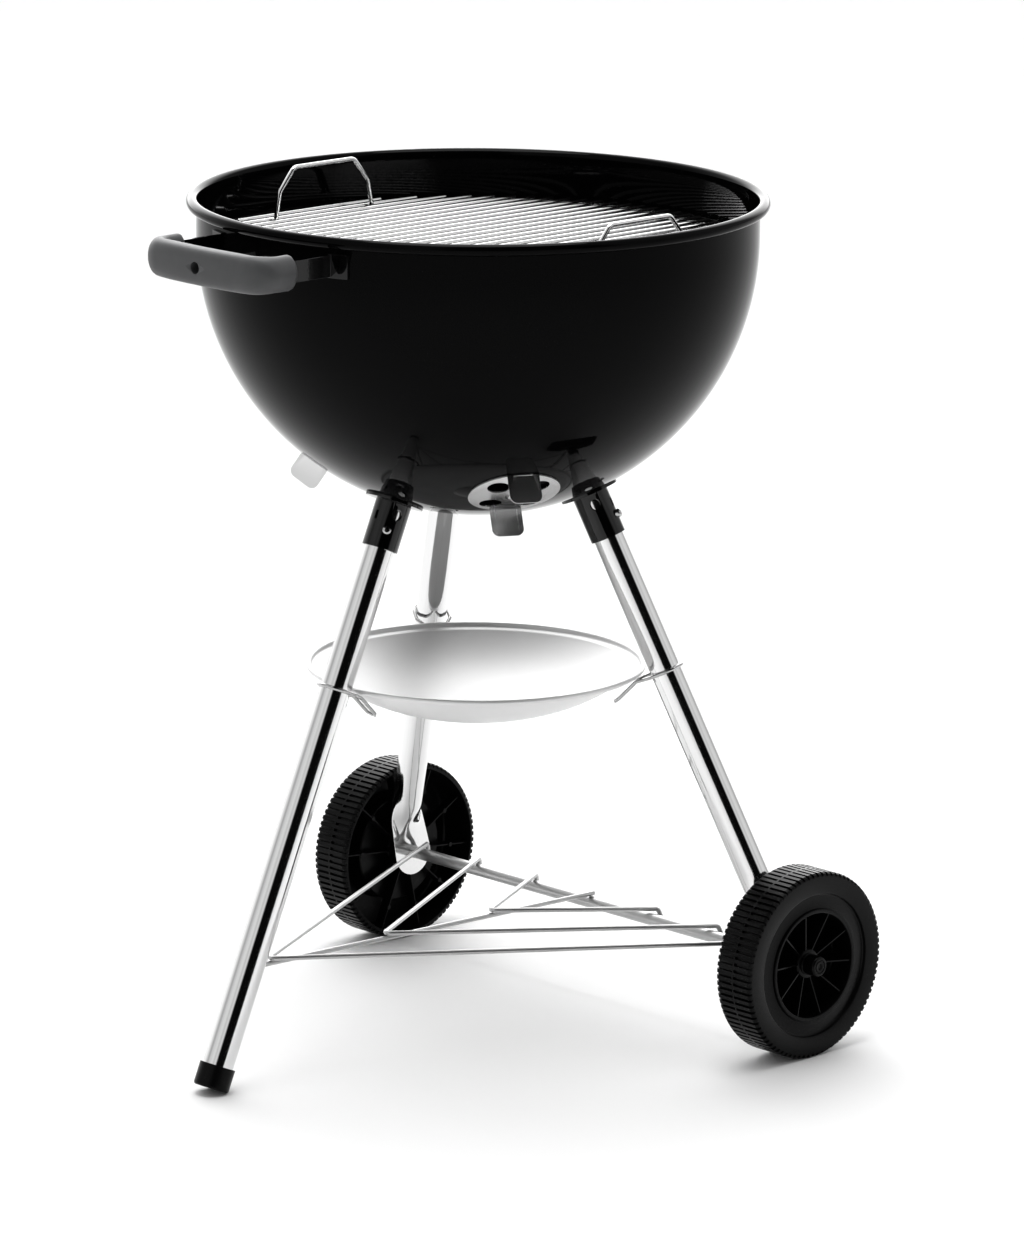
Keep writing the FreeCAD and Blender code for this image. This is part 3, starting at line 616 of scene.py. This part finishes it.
def wheelOutline():
    inner, outer, hub, bore = (wheel[k] for k in ("inner", "outer", "hub", "bore"))
    web = outer - wheel["webDepth"]
    back, drop = web - wheel["webThickness"], outer - wheel["hubDrop"]
    sidewall = [(74.0, outer), (61.0, outer), (59.8, outer - 0.6), (59.1, outer - 2.6),
                (58.1, outer - 3.2), (48.2, outer - 3.2), (47.2, outer - 2.8), (46.8, outer - 1.2),
                (46.0, outer - 0.7), (44.4, outer - 0.7), (43.6, outer - 1.2)]
    dish = [(43.2, outer - 4), (42.8, web + 1), (41.6, web), (hub + 1, web), (hub, web + 1),
            (hub - 0.4, drop - 1.4), (hub - 1.2, drop - 0.4), (hub - 2.4, drop), (bore, drop)]
    cavity = [(bore, inner), (hub - 0.8, inner), (hub, inner + 0.8), (hub, back - 1),
              (hub + 1, back), (45, back), (46, back + 1), (46.3, outer - 6.6), (47.4, outer - 5.6),
              (69.6, outer - 5.6), (71, outer - 7), (71.6, inner + 2), (72.2, inner)]
    return treadOutline() + sidewall + dish + cavity


def cutTread(bm, outline):  # sink the grooves between the lugs, on both sides of the seam
    lugs, share = wheel["lugs"], wheel["lugShare"]
    columns = lugs * 4
    offsets = [0.0, share, share + 0.06, 0.94]  # the four columns of one lug and its groove
    # how deep the groove goes at each point of the tread's outline
    depths = {0: 0.5, 1: 0.8, 2: 1, 3: 1, 4: 1, 7: 1, 8: 1, 9: 1, 10: 0.8, 11: 0.35}
    for vert in bm.verts:
        radius = sqrt(vert.co.x ** 2 + vert.co.y ** 2)
        column = round(atan2(vert.co.y, vert.co.x) / (2 * pi) * columns) % columns
        turn = (column // 4 + offsets[column % 4]) / lugs * 2 * pi
        if column % 4 >= 2:
            for index, depth in depths.items():
                if abs(outline[index][0] - radius) + abs(outline[index][1] - vert.co.z) < 0.05:
                    radius -= wheel["grooveDepth"] * depth
                    break
        vert.co.x, vert.co.y = radius * cos(turn), radius * sin(turn)


def addSpokes(bm):
    inner, outer, count = wheel["inner"], wheel["outer"], wheel["spokes"]
    web = outer - wheel["webDepth"]
    for spoke in range(count):
        turn = Matrix.Rotation(2 * pi * (spoke + 0.35) / count, 4, "Z")
        fin = block(bm, 11.6, 43.6, -0.6, 0.6, web - 0.5, outer - 2.6, turn)
        for vert in fin:  # each fin drops from the ring towards the hub
            local = turn.inverted() @ vert.co
            if local.z > web + 5 and local.x < 20:
                vert.co.z -= 6.0
        rib = block(bm, 12, 72, -0.7, 0.7, inner + 4.5, web - 2, turn)
        softened(bm, rib, 0.25)
        pin = Matrix.Translation((52, 0, inner + 4.6))
        bmesh.ops.create_cone(bm, cap_ends=True, segments=16, radius1=2.0, radius2=2.0, depth=1.6,
                              matrix=turn @ pin)


def wheelPlace(side):
    low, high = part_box("axle")
    middle = (low + high) / 2 / mm
    place = Matrix.Translation((0, middle.y, middle.z)) @ Matrix.Rotation(radians(90), 4, "Y")
    return Matrix.Scale(-1, 4, (1, 0, 0)) @ place if side == "left" else place


def makeWheel(side):
    outline = wheelOutline()
    bm = bmesh.new()
    turned(bm, outline, wheel["lugs"] * 4)
    cutTread(bm, outline)
    addSpokes(bm)
    settle(side + "_wheel_tyre", bm, wheelPlace(side), "black_plastic", [side + "_wheel"], None, 30)


def makeAxleCap(side):
    radius, end = wheel["capRadius"], wheel["outer"] + wheel["capReach"]
    start = wheel["outer"] - wheel["hubDrop"] + 0.4
    points = [(0, end - 1.6), (2.0, end - 1.6), (2.5, end - 0.7), (3.4, end - 0.3),
              (4.3, end - 0.4), (4.7, end - 1.0), (5.3, end - 1.0), (5.7, end - 0.4)]
    points += arcPoints(radius - 2.2, end - 2.4, 2.2, 75, 0, 8) + [(radius, start + 1)]
    points += [(radius + 0.8, start + 0.6), (radius + 0.8, start), (0, start)]
    bm = bmesh.new()
    turned(bm, points, 64)
    settle(side + "_axle_end", bm, wheelPlace(side), "zinc_steel", [side + "_axle_cap"],
           "black_plastic")


for side in ("right", "left"):
    makeWheel(side)
    makeAxleCap(side)
print("wheels made")

axlePlace = Matrix.Translation((0, axisY, 0)) @ Matrix.Rotation(radians(90), 4, "Y")
finer("axle", "zinc_steel", axlePlace)
finer("axle_tube", "grey_wire", axlePlace)
finer("axle_washers", "zinc_steel", axlePlace)
for name in ("middle_rod", "wire_outer", "wire_middle", "wire_inner"):
    finer("rack_" + name, "grey_wire", upright, None, 40)
print("axle and rack made")


# ash pan

pan = {
    "radius": 139.0, "rimZ": 306.0, "bead": 2.2, "sheet": 1.0, "depth": 40.0, "flat": 35.0,
    "rise": 36.8, "evenShare": 0.45, "curve": 2.6, "steps": 192,
}


def makePan():
    bead, rimZ, sheet = pan["bead"], pan["rimZ"], pan["sheet"]
    beadX = pan["radius"] - bead
    lip, bottom, flat = beadX - 9, rimZ - pan["depth"], pan["flat"]
    rise, even, curve = pan["rise"], pan["evenShare"], pan["curve"]
    top, under = [], []
    for index in range(33):
        share = index / 32
        x = flat + (lip - flat) * share
        z = bottom + rise * (even * share + (1 - even) * share ** curve)
        top.append((x, z))
        slope = rise * (even + (1 - even) * curve * share ** (curve - 1)) / (lip - flat)
        tilt = sqrt(1 + slope ** 2)
        under.append((x + sheet * slope / tilt, z - sheet / tilt))
    middle = [(0, bottom + 1.2), (12, bottom + 1.2), (flat - 4, bottom + 1.2),
              (flat - 2.5, bottom + 1.0), (flat - 1.2, bottom + 0.25)]
    points = middle + top
    points += [(lip + 1.2, rimZ - 2.2), (beadX - bead - 1.2, rimZ - 1.6),
               (beadX - bead - 0.3, rimZ - 1.0)]
    points += arcPoints(beadX, rimZ, bead, 170, -125, 20)
    points += [(lip + 1.6, rimZ - 2.9 - sheet)]
    points += list(reversed(under))
    points += [(flat - 1.2, bottom + 0.25 - sheet), (flat - 2.5, bottom - 0.1),
               (flat - 4, bottom + 0.15), (12, bottom + 0.15), (0, bottom + 0.15)]
    bm = bmesh.new()
    turned(bm, points, pan["steps"])
    settle("ash_pan_dish", bm, upright, "satin_aluminium", ["ash_pan"], "spun_aluminium", 45)


makePan()
for name in legs["azimuth"]:
    finer("pan_clip_" + name, "bright_steel", legPlace(name), None, 40)
print("ash pan made")


# handle

grip = {
    "half": 74.0, "front": 303.2, "back": 261.2, "middleZ": 670.5, "height": 30.0,
    "thick": 18.0, "endThick": 17.0, "cornerRadius": 17.5, "endRound": 16.0,
    "ringPoints": 32, "recess": 4.8, "recessDepth": 10.0,
}


def gripPath():  # middle line of the grip in plan, from the right end round to the left
    side = grip["half"] - grip["endThick"] / 2
    front = -grip["front"] + grip["thick"] / 2
    corner = grip["cornerRadius"]
    points = [(side, -grip["back"] - step) for step in (0.0, 0.6, 1.8, 3.6, 6.0, 10.0)]
    points += arcPoints(side - corner, front + 2.0 + corner, corner, 0, -90, 12)
    run = side - corner
    for share in (0.75, 0.5, 0.25, 0.0):
        points.append((run * share, front + 2.0 * share ** 2))
    return points + [(-x, y) for x, y in reversed(points[:-1])]


def gripSection(index, path):  # rounded box across the path, drawn in at both ends
    last = len(path) - 1
    before, after = Vector(path[max(index - 1, 0)]), Vector(path[min(index + 1, last)])
    along = (after - before).normalized()
    across = Vector((-along.y, along.x))
    shrink = {0: 0.62, 1: 0.86, 2: 0.96}.get(min(index, last - index), 1.0)
    half, edge = grip["height"] / 2, grip["endRound"]
    power = 0.60 + 0.32 * eased(abs(path[index][0]), 35, 62)  # rounder towards the corners
    points = []
    for step in range(grip["ringPoints"]):
        angle = 2 * pi * step / grip["ringPoints"]
        wide, tall = (copysign(abs(value) ** power, value) for value in (cos(angle), sin(angle)))
        spot = Vector(path[index]) + across * (wide * grip["thick"] / 2 * shrink)
        beyond = min(max(abs(spot.x) - grip["half"] + edge, 0.0), edge)
        lean = (spot.y + grip["front"]) / (grip["front"] - grip["back"])
        limit = half - (edge - sqrt(edge ** 2 - beyond ** 2)) * (0.80 - 0.35 * lean)
        points.append((spot.x, spot.y, grip["middleZ"] + tall * limit * shrink))
    return points


def makeGrip():
    path = gripPath()
    bm = bmesh.new()
    swept(bm, [gripSection(index, path) for index in range(len(path))])
    piece = settle("handle_grip_moulded", bm, upright, "grey_nylon", ["handle_grip"], None, 50)
    seat = Matrix.Translation((0, axisY - grip["front"], grip["middleZ"]))
    seat = seat @ Matrix.Rotation(radians(-90), 4, "X")
    pierced(piece, cylinderCutter(grip["recess"], -4, grip["recessDepth"], seat))


makeGrip()
finer("handle_bracket", "black_enamel", upright, "socket_enamel", 30, 0.3)
# the zinc screw gets the dark steel finish as painted shade, standing for the shade deep in the
# grip's recess
finer("handle_screw", "zinc_steel", upright, "dark_steel_rod")
print("handle made")


# grates

for name in ("rods", "ring", "cross_rods", "handle_right", "handle_left"):
    finer("cooking_grate_" + name, "plated_rod", upright, None, 40, 0.3 if "rods" in name else 0)
for name in ("rods", "cross_rods"):
    finer("charcoal_grate_" + name, "dark_steel_rod", upright, None, 40, 0.3)
for name in ("cooking", "charcoal"):
    finer(name + "_grate_brackets", "black_enamel", upright, "socket_enamel", 30, 0.3)
print("grates made")
